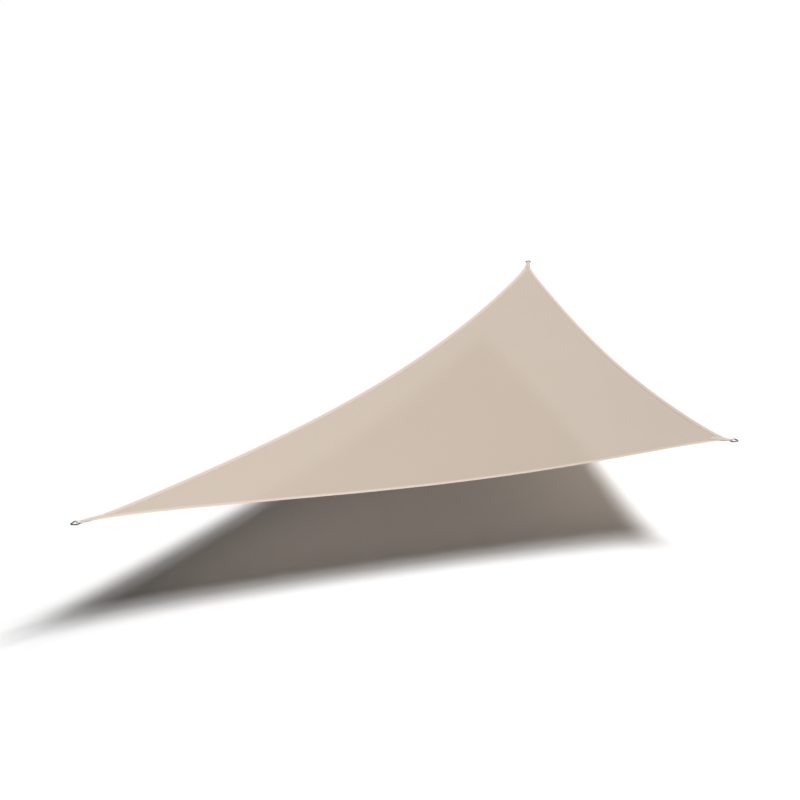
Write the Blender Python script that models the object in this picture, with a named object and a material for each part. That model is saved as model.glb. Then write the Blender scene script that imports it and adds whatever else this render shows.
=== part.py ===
"""A triangular shade sail, 4.0 x 4.0 x 5.7 m, hung level by a steel ring at each corner.

Metres, +Z up. The sail is a right-angled triangle that hangs almost flat: its edges curve in
between the corners, and the whole sheet sags a little. Every flat piece is drawn in plan and then
lifted onto one hanging surface, so that layers stay the same distance apart all over the sail.
The origin is the point inside the square corner's ring where a hook bears; -X runs along the
front edge to the left corner, and +Y along the right edge to the far corner.
"""
import math

import bmesh
import bpy
from mathutils import Matrix, Vector

# ---------------------------------------------------------------- driving dimensions, in metres
LEG = 4.0               # each short side, between the points where the edges would meet
GAP = 0.0003            # space between two pieces that touch

CLOTH_THICK = 0.0016    # knitted cloth with its turned hem
CLOTH_CELLS = 44        # mesh cells along each side of the cloth
CENTRE_SAG = 0.030      # how much deeper the middle hangs than the edges alone would pull it
SAG_FLATNESS = 0.32     # 0 is a plain parabola; more leaves each corner flatter before it drops

TAPE_WIDTH = 0.036      # edge tape, folded round the cloth's edge and sewn through
TAPE_WALL = 0.0012
TAPE_STRIPS = 3         # mesh strips across each flat face
TAPE_CELL = 0.115       # mesh cell along the tape
TAPE_PLAIN_END = 0.18   # where the tape's even cells begin, inside its mitred end
TAPE_END_CELLS = 6

STRAP_WIDTH = 0.032     # corner strap, one length of webbing folded round the ring
STRAP_THICK = 0.0014
STRAP_REACH = 0.075     # how far its two plies run onto the sail
STRAP_TAPE_END = 0.026  # distances out from the corner point: the plies clear the tape ends here,
STRAP_NIP_INNER = 0.038  # and lie on each other between these two
STRAP_NIP_OUTER = 0.048
STRAP_SPREAD_END = 0.005  # where the strap has reached its full width

RING_BAR = 0.008        # diameter of the steel bar
RING_BASE = 0.058       # ring triangle on the bar's centre line, before its corners are rounded
RING_HEIGHT = 0.044
RING_BASE_ROUND = 0.007
RING_TIP_ROUND = 0.008
BAR_SIDES = 12
LOOP_CLEARANCE = 0.0005  # between the bar and the webbing round it

# corner: plan position of the point where its two edges would meet, seen from the square corner
CORNERS = {
    "left": Vector((-LEG, 0.0)),
    "far": Vector((0.0, LEG)),
    "square": Vector((0.0, 0.0)),
}
# edge: start, end, inset (m), inset_lean, sag (m), sag_lean
# inset is how far the edge curves in at its middle and sag how far it hangs there; a lean above 0
# moves the curve's fullest part towards the end corner
EDGES = {
    "long": ("left", "far", 0.167, 0.265, 0.118, -0.23),
    "right": ("far", "square", 0.0246, 0.02, 0.112, 0.17),
    "front": ("left", "square", 0.0635, -0.36, 0.103, 0.22),
}
# between the corners each edge lies this much further in than its curve, and towards a corner it
# flares out again, to end beside the strap: edge, corner: how far outside the corner point, and
# over what length
EDGE_SET_IN = 0.012
FLARES = {
    ("long", "left"): (0.018, 0.136), ("long", "far"): (0.014, 0.136),
    ("right", "far"): (0.026, 0.120), ("right", "square"): (0.022, 0.180),
    ("front", "left"): (0.018, 0.136), ("front", "square"): (0.030, 0.165),
}
# corner: how far the middle of the ring's base bar lies out from the corner point and to the side
# of its middle line, and how much the strap widens on each side towards the sail
RING_PLACES = {
    "left": (0.073, 0.003, 0.003), "far": (0.074, 0.009, 0.003), "square": (0.067, 0.010, 0.010),
}

CLOTH_HALF = CLOTH_THICK / 2
TAPE_HALF = CLOTH_HALF + GAP + TAPE_WALL
CLOTH_SET_IN = TAPE_HALF
RING_SLOPE = math.atan2(RING_HEIGHT, RING_BASE / 2)
TIP_HALF_ANGLE = math.pi / 2 - RING_SLOPE
HOOK_REACH = RING_HEIGHT - RING_TIP_ROUND / math.sin(TIP_HALF_ANGLE) + RING_TIP_ROUND - RING_BAR / 2


def clear_scene():
    for obj in list(bpy.data.objects):
        bpy.data.objects.remove(obj, do_unlink=True)


def material(name, colour, roughness, metallic=0.0):
    mat = bpy.data.materials.new(name)
    mat.use_nodes = True
    shader = mat.node_tree.nodes["Principled BSDF"]
    shader.inputs["Base Color"].default_value = (*colour, 1.0)
    shader.inputs["Roughness"].default_value = roughness
    shader.inputs["Metallic"].default_value = metallic
    return mat


# ------------------------------------------------------------------------ the hanging surface
def hang(plan):
    """Height of the sail's middle surface over a plan point; the corner points are at 0."""
    share = {"left": -plan.x / LEG, "far": plan.y / LEG}
    share["square"] = 1.0 - share["left"] - share["far"]
    height = -CENTRE_SAG * 27 * share["left"] * share["far"] * share["square"]
    for start, end, _, _, sag, lean in EDGES.values():
        hump = 4 * share[start] * share[end]
        fullness = hump * (1 - SAG_FLATNESS + SAG_FLATNESS * hump)
        height -= sag * fullness * (1 + lean * (share[end] - share[start]))
    return height


def lift(plan, offset):
    return Vector((plan.x, plan.y, hang(plan) + offset))


# ------------------------------------------------------------------------------- plan curves
def edge_point(edge, t, depth=0.0, flared=True):
    """Plan point a fraction t along an edge, set in from its outer line by depth."""
    start, end, inset, lean, _, _ = EDGES[edge]
    a, b = CORNERS[start], CORNERS[end]
    chord = b - a
    third = next(c for name, c in CORNERS.items() if name not in (start, end))
    inward = Vector((-chord.y, chord.x)).normalized()
    if inward.dot(third - a) < 0:
        inward = -inward
    shift = EDGE_SET_IN + inset * 4 * t * (1 - t) * (1 + lean * (2 * t - 1))
    slope = inset * (4 * (1 - 2 * t) * (1 + lean * (2 * t - 1)) + 8 * lean * t * (1 - t))
    if flared:
        for corner, away, sign in ((start, t, 1), (end, 1 - t, -1)):
            outside, length = FLARES[edge, corner]
            fade = (EDGE_SET_IN + outside) * math.exp(-away * chord.length / length)
            shift -= fade
            slope += sign * fade * chord.length / length
    along = (chord + inward * slope).normalized()
    across = Vector((-along.y, along.x))
    if across.dot(inward) < 0:
        across = -across
    return a + chord * t + inward * shift + across * depth


def edge_length(edge):
    start, end = EDGES[edge][:2]
    return (CORNERS[end] - CORNERS[start]).length


def leaving(edge, corner):
    """Direction in which an edge leaves a corner."""
    step = 1e-4
    near, far = (0, step) if EDGES[edge][0] == corner else (1, 1 - step)
    return (edge_point(edge, far, flared=False) - edge_point(edge, near, flared=False)).normalized()


def corner_axes(corner):
    """Unit vectors at a corner: inward along its middle line, and across it."""
    first, second = [leaving(edge, corner) for edge in EDGES if corner in EDGES[edge][:2]]
    inward = (first + second).normalized()
    return inward, Vector((-inward.y, inward.x))


def mitre_t(edge, corner, depth, clearance, flared=True):
    """Where the line at this depth comes within clearance of the corner's middle line, if at all."""
    _, across = corner_axes(corner)
    side = 1 if across.dot(leaving(edge, corner)) > 0 else -1
    at_start = EDGES[edge][0] == corner

    def past(distance):
        t = distance / edge_length(edge)
        point = edge_point(edge, t if at_start else 1 - t, depth, flared)
        return side * across.dot(point - CORNERS[corner]) - clearance

    low, high = 0.0, 0.5
    for _ in range(40):
        middle = (low + high) / 2
        if past(middle) < 0:
            low = middle
        else:
            high = middle
    t = high / edge_length(edge)
    return t if at_start else 1 - t


# ------------------------------------------------------------------------------ mesh helpers
def mesh_object(name, points, faces, mat, smooth_angle=None):
    mesh = bpy.data.meshes.new(name)
    mesh.from_pydata([tuple(p) for p in points], [], faces)
    shape = bmesh.new()
    shape.from_mesh(mesh)
    bmesh.ops.recalc_face_normals(shape, faces=shape.faces)
    shape.to_mesh(mesh)
    shape.free()
    if smooth_angle is not None:
        mesh.shade_smooth()
        mesh.set_sharp_from_angle(angle=smooth_angle)
    mesh.materials.append(mat)
    obj = bpy.data.objects.new(name, mesh)
    bpy.context.scene.collection.objects.link(obj)
    return obj


def skin_rows(rows, closed_path=False):
    """Quads between rows of equal length, each row a closed ring. An open end is capped across the
    row, whose second half must run back along its first."""
    size = len(rows[0])
    points = [point for row in rows for point in row]
    faces = []
    for r in range(len(rows) if closed_path else len(rows) - 1):
        here, there = r * size, ((r + 1) % len(rows)) * size
        for i in range(size):
            j = (i + 1) % size
            faces.append((here + i, here + j, there + j, there + i))
    if not closed_path:
        last = (len(rows) - 1) * size
        for i in range(size // 2 - 1):
            j = size - 1 - i
            faces.append((j, j - 1, i + 1, i))
            faces.append((last + i, last + i + 1, last + j - 1, last + j))
    return points, faces


# ------------------------------------------------------------------------------------- pieces
def cloth_border(edge):
    """The cloth's edge inside the tape, as a function of the fraction along it."""
    start, end = EDGES[edge][:2]
    first = mitre_t(edge, start, CLOTH_SET_IN, 0.0, flared=False)
    last = mitre_t(edge, end, CLOTH_SET_IN, 0.0, flared=False)
    return lambda t: edge_point(edge, first + (last - first) * t, CLOTH_SET_IN, flared=False)


def cloth_plan():
    """Plan points of the cloth's lattice, by how many cells they are from each corner."""
    borders = {edge: cloth_border(edge) for edge in EDGES}
    tips = {}
    for edge, border in borders.items():
        tips[EDGES[edge][0]] = border(0.0)
        tips[EDGES[edge][1]] = border(1.0)
    plan = {}
    for i in range(CLOTH_CELLS + 1):
        for j in range(CLOTH_CELLS + 1 - i):
            share = {"left": i / CLOTH_CELLS, "far": j / CLOTH_CELLS}
            share["square"] = 1.0 - share["left"] - share["far"]
            point = Vector((0.0, 0.0))
            for corner, tip in tips.items():
                point += tip * share[corner]
            for edge, border in borders.items():
                start, end = EDGES[edge][:2]
                both = share[start] + share[end]
                if both > 1e-9:
                    t = min(1.0, max(0.0, share[end] / both))
                    straight = tips[start].lerp(tips[end], t)
                    point += (border(t) - straight) * both ** 2
            plan[i, j] = point
    return plan


def make_cloth(mat):
    plan = cloth_plan()
    n = CLOTH_CELLS
    top = {key: k for k, key in enumerate(plan)}
    count = len(plan)
    points = [lift(p, CLOTH_HALF) for p in plan.values()] + [lift(p, -CLOTH_HALF) for p in plan.values()]
    faces = []
    for i in range(n):
        for j in range(n - i):
            cells = [((i, j), (i + 1, j), (i, j + 1))]
            if i + j < n - 1:
                cells.append(((i + 1, j), (i + 1, j + 1), (i, j + 1)))
            for cell in cells:
                a, b, c = (top[key] for key in cell)
                faces += [(a, b, c), (count + c, count + b, count + a)]
    rim = [(i, 0) for i in range(n)] + [(n - j, j) for j in range(n)] + [(0, j) for j in range(n, 0, -1)]
    for k, key in enumerate(rim):
        a, b = top[key], top[rim[(k + 1) % len(rim)]]
        faces.append((a, b, count + b, count + a))
    return mesh_object("sail_cloth", points, faces, mat, math.radians(30))


def tape_section():
    """Folded tape seen along the edge: depth in from the outer line, and height."""
    half, cavity = TAPE_HALF, CLOTH_HALF + GAP
    nose_steps = 6

    def face(radius, width):
        flat = [width + (half - width) * k / TAPE_STRIPS for k in range(TAPE_STRIPS)]
        turns = [math.pi / 2 + math.pi * k / nose_steps for k in range(nose_steps + 1)]
        nose = [(half + radius * math.cos(turn), radius * math.sin(turn)) for turn in turns]
        return [(d, radius) for d in flat] + nose + [(d, -radius) for d in reversed(flat)]

    return face(half, TAPE_WIDTH - TAPE_WALL / 2) + face(cavity, TAPE_WIDTH)[::-1]


def make_tape(edge, mat):
    start, end = EDGES[edge][:2]
    plain = TAPE_PLAIN_END / edge_length(edge)
    cells = round(edge_length(edge) * (1 - 2 * plain) / TAPE_CELL)
    section = tape_section()
    first = [mitre_t(edge, start, depth, GAP / 2) for depth, _ in section]
    last = [mitre_t(edge, end, depth, GAP / 2) for depth, _ in section]
    ease = [k / TAPE_END_CELLS for k in range(TAPE_END_CELLS)]
    stations = [[t + (plain - t) * u for t in first] for u in ease]
    stations += [[plain + (1 - 2 * plain) * k / cells] * len(section) for k in range(cells + 1)]
    stations += [[t + (1 - plain - t) * u for t in last] for u in reversed(ease)]
    rows = [
        [lift(edge_point(edge, t, depth), height) for t, (depth, height) in zip(row, section)]
        for row in stations
    ]
    points, faces = skin_rows(rows)
    return mesh_object("edge_tape_" + edge, points, faces, mat, math.radians(35))


def strap_line(bar_offset):
    """Middle line of the folded strap, as distance in from the corner point and height."""
    over_tape = TAPE_HALF + GAP + STRAP_THICK / 2
    nipped = GAP / 2 + STRAP_THICK / 2
    round_bar = RING_BAR / 2 + LOOP_CLEARANCE + STRAP_THICK / 2
    ease_steps, loop_steps, flat_steps = 6, 12, 3

    def ease(from_s, to_s, from_z, to_z):
        line = []
        for k in range(1, ease_steps + 1):
            u = k / ease_steps
            line.append((from_s + (to_s - from_s) * u, from_z + (to_z - from_z) * u * u * (3 - 2 * u)))
        return line

    flat = STRAP_REACH + STRAP_TAPE_END
    upper = [(STRAP_REACH - flat * k / flat_steps, over_tape) for k in range(flat_steps + 1)]
    upper += ease(-STRAP_TAPE_END, -STRAP_NIP_INNER, over_tape, nipped)
    upper.append((-STRAP_NIP_OUTER, nipped))
    upper += ease(-STRAP_NIP_OUTER, -bar_offset, nipped, round_bar)
    loop = []
    for k in range(1, loop_steps):
        turn = math.pi / 2 + math.pi * k / loop_steps
        loop.append((-bar_offset + round_bar * math.cos(turn), round_bar * math.sin(turn)))
    lower = [(s, -z) for s, z in reversed(upper)]
    return upper + loop + lower


def strap_outline(bar_offset):
    """The strap's middle line given its thickness: one closed outline."""
    line = [Vector(p) for p in strap_line(bar_offset)]
    sides = []
    for k, here in enumerate(line):
        before, after = line[max(k - 1, 0)], line[min(k + 1, len(line) - 1)]
        run = (after - before).normalized()
        sides.append(Vector((-run.y, run.x)) * STRAP_THICK / 2)
    outer = [p + side for p, side in zip(line, sides)]
    inner = [p - side for p, side in zip(line, sides)]
    return outer + inner[::-1]


def half_width(corner, s):
    """Half the strap's width at a distance in from the corner point."""
    _, _, spread = RING_PLACES[corner]
    u = (s + STRAP_NIP_OUTER) / (STRAP_SPREAD_END + STRAP_NIP_OUTER)
    u = min(1.0, max(0.0, u))
    return STRAP_WIDTH / 2 + spread * u * u * (3 - 2 * u)


def make_strap(corner, mat):
    inward, across = corner_axes(corner)
    bar_offset, aside, _ = RING_PLACES[corner]
    middle = CORNERS[corner] + across * aside
    outline = strap_outline(bar_offset)
    rows = []
    for side in (-1, 0, 1):
        plan = [middle + inward * p.x + across * side * half_width(corner, p.x) for p in outline]
        rows.append([lift(point, p.y) for point, p in zip(plan, outline)])
    points, faces = skin_rows(rows)
    return mesh_object("corner_strap_" + corner, points, faces, mat, math.radians(35))


def ring_frame(corner):
    """Place of a ring: origin at its base bar, X out towards its tip, Z off its flat side."""
    inward, across = corner_axes(corner)
    bar_offset, aside, _ = RING_PLACES[corner]
    bar = CORNERS[corner] - inward * bar_offset + across * aside
    step = 0.005
    out = lift(bar - inward * step, 0) - lift(bar + inward * step, 0)
    side = lift(bar - across * step, 0) - lift(bar + across * step, 0)
    out.normalize()
    up = out.cross(side).normalized()
    side = up.cross(out)
    turn = Matrix((out, side, up)).transposed().to_4x4()
    return Matrix.Translation(lift(bar, 0)) @ turn


def ring_path():
    """The bar's centre line: a triangle with rounded corners, its base on the Y axis."""
    sharp = [
        (Vector((0.0, -RING_BASE / 2)), RING_BASE_ROUND),
        (Vector((RING_HEIGHT, 0.0)), RING_TIP_ROUND),
        (Vector((0.0, RING_BASE / 2)), RING_BASE_ROUND),
    ]
    steps = 6
    path = []
    for k, (corner, radius) in enumerate(sharp):
        to_last = (sharp[k - 1][0] - corner).normalized()
        to_next = (sharp[(k + 1) % 3][0] - corner).normalized()
        half = to_last.angle(to_next) / 2
        centre = corner + (to_last + to_next).normalized() * radius / math.sin(half)
        first = corner + to_last * radius / math.tan(half) - centre
        last = corner + to_next * radius / math.tan(half) - centre
        sweep = first.angle_signed(last)
        for m in range(steps + 1):
            path.append(centre + Matrix.Rotation(-sweep * m / steps, 2) @ first)
    return path


def make_ring(corner, mat):
    path = ring_path()
    rows = []
    for k, here in enumerate(path):
        before, after = path[k - 1], path[(k + 1) % len(path)]
        run = ((here - before).normalized() + (after - here).normalized()).normalized()
        side = Vector((-run.y, run.x, 0.0))
        row = []
        for m in range(BAR_SIDES):
            turn = 2 * math.pi * m / BAR_SIDES
            offset = side * math.cos(turn) + Vector((0, 0, 1)) * math.sin(turn)
            row.append(here.to_3d() + offset * RING_BAR / 2)
        rows.append(row)
    points, faces = skin_rows(rows, closed_path=True)
    ring = mesh_object("ring_" + corner, points, faces, mat, math.radians(60))
    ring.matrix_world = ring_frame(corner)
    return ring


def main():
    clear_scene()
    cloth_mat = material("sand_cloth", (0.63, 0.55, 0.47), 0.9)
    tape_mat = material("pale_webbing", (0.72, 0.62, 0.54), 0.8)
    steel_mat = material("stainless_steel", (0.55, 0.55, 0.56), 0.3, 1.0)

    pieces = [make_cloth(cloth_mat)]
    pieces += [make_tape(edge, tape_mat) for edge in EDGES]
    pieces += [make_strap(corner, tape_mat) for corner in CORNERS]
    pieces += [make_ring(corner, steel_mat) for corner in CORNERS]

    hook = ring_frame("square") @ Vector((HOOK_REACH, 0.0, 0.0))
    rig = bpy.data.objects.new("hook_point", None)
    bpy.context.scene.collection.objects.link(rig)
    rig.location = -hook
    for piece in pieces:
        piece.parent = rig


main()
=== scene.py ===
# %% [markdown]
# # A triangular shade sail
#
# The sail is a right-angled triangle of knitted cloth, pulled tight between three steel rings.
# This script dresses them: it draws each soft piece again with finer meshes on the same hanging
# surface, sews it, and gives every piece a procedural finish. Lengths are in metres, +Z is up.

# %% Load the fixed solids and note how large they are
import math

import bmesh
import bpy
from mathutils import Matrix, Vector


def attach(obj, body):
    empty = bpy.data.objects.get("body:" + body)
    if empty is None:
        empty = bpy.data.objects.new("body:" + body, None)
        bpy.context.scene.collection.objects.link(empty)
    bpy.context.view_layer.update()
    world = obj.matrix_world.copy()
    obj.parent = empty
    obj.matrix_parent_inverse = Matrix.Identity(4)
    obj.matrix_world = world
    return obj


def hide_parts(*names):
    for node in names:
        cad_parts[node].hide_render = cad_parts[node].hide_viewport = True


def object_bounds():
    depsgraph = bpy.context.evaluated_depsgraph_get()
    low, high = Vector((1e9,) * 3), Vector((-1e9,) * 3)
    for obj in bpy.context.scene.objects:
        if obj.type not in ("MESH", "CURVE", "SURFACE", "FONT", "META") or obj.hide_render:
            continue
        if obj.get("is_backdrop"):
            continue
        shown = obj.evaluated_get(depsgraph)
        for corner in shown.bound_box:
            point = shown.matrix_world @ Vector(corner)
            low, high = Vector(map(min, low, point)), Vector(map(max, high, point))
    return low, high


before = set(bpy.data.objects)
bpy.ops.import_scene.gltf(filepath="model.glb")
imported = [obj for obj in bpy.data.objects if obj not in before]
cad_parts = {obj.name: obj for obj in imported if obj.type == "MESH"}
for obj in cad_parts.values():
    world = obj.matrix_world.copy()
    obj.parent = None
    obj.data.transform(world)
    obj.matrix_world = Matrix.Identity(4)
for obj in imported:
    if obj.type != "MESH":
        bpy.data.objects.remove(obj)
cad_low, cad_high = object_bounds()
print("solids:", sorted(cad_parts))
print("box of the solids:", [round(x, 4) for x in (*cad_low, *cad_high)])

# %% [markdown]
# ## The sail's own geometry
#
# A sail that is pulled tight between three points is almost flat. It could be found by a cloth
# simulation, but without folds there is little for one to find, and a formula gives the same
# calm surface every time. So the sail is drawn in plan, as a maker cuts it, and then lifted onto
# one smooth surface. Building every layer on that surface keeps the layers the same distance
# apart all over the sail. The numbers are those of the solids: `inset` is how far an edge curves
# in at its middle, `sag` how far it hangs there, and a lean above 0 moves the fullest part
# towards the end corner. Each edge also flares out a little over its last stretch, to end beside
# the corner strap.

# %% Sizes that the solids are built from
LEG = 4.0
GAP = 0.0003            # left between any two solids
CLOTH_HALF = 0.0008
CENTRE_SAG = 0.030
SAG_FLATNESS = 0.32     # how much flatter the ends of an edge's sag are than a parabola's
TAPE_WIDTH = 0.036
TAPE_WALL = 0.0012
TAPE_HALF = CLOTH_HALF + GAP + TAPE_WALL
CLOTH_SET_IN = TAPE_HALF
STRAP_WIDTH = 0.032
STRAP_REACH = 0.075
STRAP_TAPE_END = 0.026
STRAP_NIP_INNER = 0.038
STRAP_NIP_OUTER = 0.048
STRAP_SPREAD_END = 0.005
RING_BAR = 0.008
RING_BASE = 0.058
RING_HEIGHT = 0.044
RING_BASE_ROUND = 0.007
RING_TIP_ROUND = 0.008
LOOP_CLEARANCE = 0.0005

CORNERS = {"left": Vector((-LEG, 0.0)), "far": Vector((0.0, LEG)), "square": Vector((0.0, 0.0))}
EDGES = {  # start, end, inset, inset_lean, sag, sag_lean
    "long": ("left", "far", 0.167, 0.265, 0.118, -0.23),
    "right": ("far", "square", 0.0246, 0.02, 0.112, 0.17),
    "front": ("left", "square", 0.0635, -0.36, 0.103, 0.22),
}
EDGE_SET_IN = 0.012
FLARES = {  # edge, corner: how far outside the corner point, over what length
    ("long", "left"): (0.018, 0.136), ("long", "far"): (0.014, 0.136),
    ("right", "far"): (0.026, 0.120), ("right", "square"): (0.022, 0.180),
    ("front", "left"): (0.018, 0.136), ("front", "square"): (0.030, 0.165),
}
RING_PLACES = {  # corner: base bar out from the corner point, to the side, and spread of the strap
    "left": (0.073, 0.003, 0.003), "far": (0.074, 0.009, 0.003), "square": (0.067, 0.010, 0.010),
}
print("legs of", LEG, "m, with tape", TAPE_WIDTH, "m wide and rings of", RING_BAR, "m bar")

# %% A smooth step, for whatever eases from one size into another
def smooth_step(u):
    """Rises from 0 to 1 as u does, level at both ends."""
    u = min(1.0, max(0.0, u))
    return u * u * (3 - 2 * u)


print("a quarter of the way up, a smooth step is at", smooth_step(0.25))

# %% Height of the hanging surface over a point of the plan
def hang(plan):
    """Height over a plan point, from the share that each corner has in it."""
    share = {"left": -plan.x / LEG, "far": plan.y / LEG}
    share["square"] = 1.0 - share["left"] - share["far"]
    height = -CENTRE_SAG * 27 * share["left"] * share["far"] * share["square"]
    for start, end, _, _, sag, lean in EDGES.values():
        hump = 4 * share[start] * share[end]
        fullness = hump * (1 - SAG_FLATNESS + SAG_FLATNESS * hump)
        height -= sag * fullness * (1 + lean * (share[end] - share[start]))
    return height


def lift(plan, offset):
    """The plan point on the surface, or off it by an offset."""
    return Vector((plan.x, plan.y, hang(plan) + offset))


print("the middle of the sail hangs", round(-hang(Vector((-LEG / 3, LEG / 3))) * 1000), "mm down")

# %% Plan points along the curved edges
def edge_point(edge, t, depth=0.0, flared=True):
    """Plan point a fraction t along an edge, set in from its outer line by depth."""
    start, end, inset, lean, _, _ = EDGES[edge]
    a, b = CORNERS[start], CORNERS[end]
    chord = b - a
    third = next(c for name, c in CORNERS.items() if name not in (start, end))
    inward = Vector((-chord.y, chord.x)).normalized()
    if inward.dot(third - a) < 0:
        inward = -inward
    shift = EDGE_SET_IN + inset * 4 * t * (1 - t) * (1 + lean * (2 * t - 1))
    slope = inset * (4 * (1 - 2 * t) * (1 + lean * (2 * t - 1)) + 8 * lean * t * (1 - t))
    if flared:
        for corner, away, sign in ((start, t, 1), (end, 1 - t, -1)):
            outside, length = FLARES[edge, corner]
            fade = (EDGE_SET_IN + outside) * math.exp(-away * chord.length / length)
            shift -= fade
            slope += sign * fade * chord.length / length
    along = (chord + inward * slope).normalized()
    across = Vector((-along.y, along.x))
    if across.dot(inward) < 0:
        across = -across
    return a + chord * t + inward * shift + across * depth


def edge_length(edge):
    """Straight length between the two corner points of an edge."""
    start, end = EDGES[edge][:2]
    return (CORNERS[end] - CORNERS[start]).length


for edge in EDGES:
    print(edge, "edge:", round(edge_length(edge), 3), "m, curved in by", EDGES[edge][2], "m")

# %% The middle line of each corner, and where the tapes meet on it
NUDGE = 1e-4            # a short way along an edge, to see where it heads
HALVINGS = 40           # how often the stretch where a line is crossed is halved


def leaving(edge, corner):
    """The way an edge leaves a corner, without its flare."""
    near, far = (0, NUDGE) if EDGES[edge][0] == corner else (1, 1 - NUDGE)
    return (edge_point(edge, far, flared=False) - edge_point(edge, near, flared=False)).normalized()


def corner_axes(corner):
    """Unit vectors at a corner: inward along its middle line, and across it."""
    first, second = [leaving(edge, corner) for edge in EDGES if corner in EDGES[edge][:2]]
    inward = (first + second).normalized()
    return inward, Vector((-inward.y, inward.x))


def mitre_t(edge, corner, depth, clearance, flared=True):
    """Where the line at this depth comes within clearance of the corner's middle line, if at all."""
    _, across = corner_axes(corner)
    side = 1 if across.dot(leaving(edge, corner)) > 0 else -1
    at_start = EDGES[edge][0] == corner
    low, high = 0.0, 0.5
    for _ in range(HALVINGS):
        middle = (low + high) / 2
        t = middle / edge_length(edge)
        point = edge_point(edge, t if at_start else 1 - t, depth, flared)
        if side * across.dot(point - CORNERS[corner]) < clearance:
            low = middle
        else:
            high = middle
    t = high / edge_length(edge)
    return t if at_start else 1 - t


for corner in CORNERS:
    print(corner, "corner's middle line runs", [round(x, 3) for x in corner_axes(corner)[0]])

# %% Where each ring hangs, and the point that everything is measured from
def ring_frame(corner):
    """Place of a ring: origin at its base bar, X out towards its tip, Z off its flat side."""
    inward, across = corner_axes(corner)
    bar_offset, aside, _ = RING_PLACES[corner]
    bar = CORNERS[corner] - inward * bar_offset + across * aside
    step = 0.005
    out = lift(bar - inward * step, 0) - lift(bar + inward * step, 0)
    side = lift(bar - across * step, 0) - lift(bar + across * step, 0)
    out.normalize()
    up = out.cross(side).normalized()
    side = up.cross(out)
    return Matrix.Translation(lift(bar, 0)) @ Matrix((out, side, up)).transposed().to_4x4()


TIP_HALF_ANGLE = math.pi / 2 - math.atan2(RING_HEIGHT, RING_BASE / 2)
HOOK_REACH = RING_HEIGHT - RING_TIP_ROUND / math.sin(TIP_HALF_ANGLE) + RING_TIP_ROUND - RING_BAR / 2
HOOK = ring_frame("square") @ Vector((HOOK_REACH, 0.0, 0.0))


def place(plan, offset=0.0):
    """A plan point at its height, measured from the hook in the square corner's ring."""
    return lift(plan, offset) - HOOK


for corner in CORNERS:
    print(corner, "corner at", [round(x, 4) for x in place(CORNERS[corner])])

# %% [markdown]
# ## The floor, the light and the camera
#
# The picture is a studio one: a white floor that runs past the frame, and a wide soft light high
# on the right that throws a shadow with blurred edges. Sun lamps with a large angle give just
# that blur, and it grows with height, so the shadow is crisper near the sagging middle. The light
# is longer than it is wide, so three lamps side by side stand for it, and each is given by the
# share of the floor's light that comes from it. What lights the shaded sides is nearly all thrown
# back by the floor. The view transform is Standard, so that white stays white. An image of a
# studio round the scene could light it too, but lamps can be set one by one. The camera stands
# about 6 m in front of the sail's left end and 3 m above it.

# %% Floor
FLOOR_Z = -0.657
FLOOR_REACH = 150.0
FLOOR_WHITE = 0.90

scene = bpy.context.scene
scene.view_settings.view_transform = "Standard"

floor_mesh = bpy.data.meshes.new("floor")
floor_mesh.from_pydata(
    [(-FLOOR_REACH, -FLOOR_REACH, FLOOR_Z), (FLOOR_REACH, -FLOOR_REACH, FLOOR_Z),
     (FLOOR_REACH, FLOOR_REACH, FLOOR_Z), (-FLOOR_REACH, FLOOR_REACH, FLOOR_Z)],
    [], [(0, 1, 2, 3)])
floor = bpy.data.objects.new("floor", floor_mesh)
scene.collection.objects.link(floor)
floor_paint = bpy.data.materials.new("floor_paint")
floor_paint.use_nodes = True
floor_shader = floor_paint.node_tree.nodes["Principled BSDF"]
floor_shader.inputs["Base Color"].default_value = (FLOOR_WHITE, FLOOR_WHITE, FLOOR_WHITE, 1.0)
floor_shader.inputs["Roughness"].default_value = 1.0
floor_shader.inputs["Specular IOR Level"].default_value = 0.0
floor_mesh.materials.append(floor_paint)
floor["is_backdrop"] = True
print("the floor lies", round(-FLOOR_Z, 3), "m below the hook")

# %% Main light
LAMPS = {  # name: the way its light travels, and its share of the light on the floor
    "studio_light_middle": (Vector((-0.80, -0.16, -1.0)), 0.553),
    "studio_light_front": (Vector((-0.72, 0.04, -1.0)), 0.282),
    "studio_light_back": (Vector((-0.64, -0.28, -1.0)), 0.170),
}
LAMP_SPREAD = math.radians(12.5)

for title, (travel, share) in LAMPS.items():
    lamp_data = bpy.data.lights.new(title, "SUN")
    # a lamp of energy pi, straight above, would light perfect white to just 1
    lamp_data.energy = share * math.pi * travel.length / FLOOR_WHITE
    lamp_data.angle = LAMP_SPREAD
    lamp = bpy.data.objects.new(title, lamp_data)
    lamp.rotation_euler = travel.to_track_quat("-Z", "Y").to_euler()
    scene.collection.objects.link(lamp)
    print(title, "energy", round(lamp_data.energy, 2))
print("open floor gets", round(sum(share for _, share in LAMPS.values()), 3), "of white from the lamps")

# %% World: a faint fill, and a white backdrop that only the camera sees
FILL_COLOUR = (0.010, 0.008, 0.006, 1.0)
BACKDROP_WHITE = (1.0, 1.0, 1.0, 1.0)

world = bpy.data.worlds.new("studio")
scene.world = world
world.use_nodes = True
sky = world.node_tree
fill = sky.nodes["Background"]
fill.inputs["Color"].default_value = FILL_COLOUR
backdrop = sky.nodes.new("ShaderNodeBackground")
backdrop.inputs["Color"].default_value = BACKDROP_WHITE
seen = sky.nodes.new("ShaderNodeLightPath")
either = sky.nodes.new("ShaderNodeMixShader")
sky.links.new(seen.outputs["Is Camera Ray"], either.inputs[0])
sky.links.new(fill.outputs[0], either.inputs[1])
sky.links.new(backdrop.outputs[0], either.inputs[2])
sky.links.new(either.outputs[0], sky.nodes["World Output"].inputs["Surface"])
print("the fill is", round(sum(FILL_COLOUR[:3]) / 3, 3), "of white")

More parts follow.
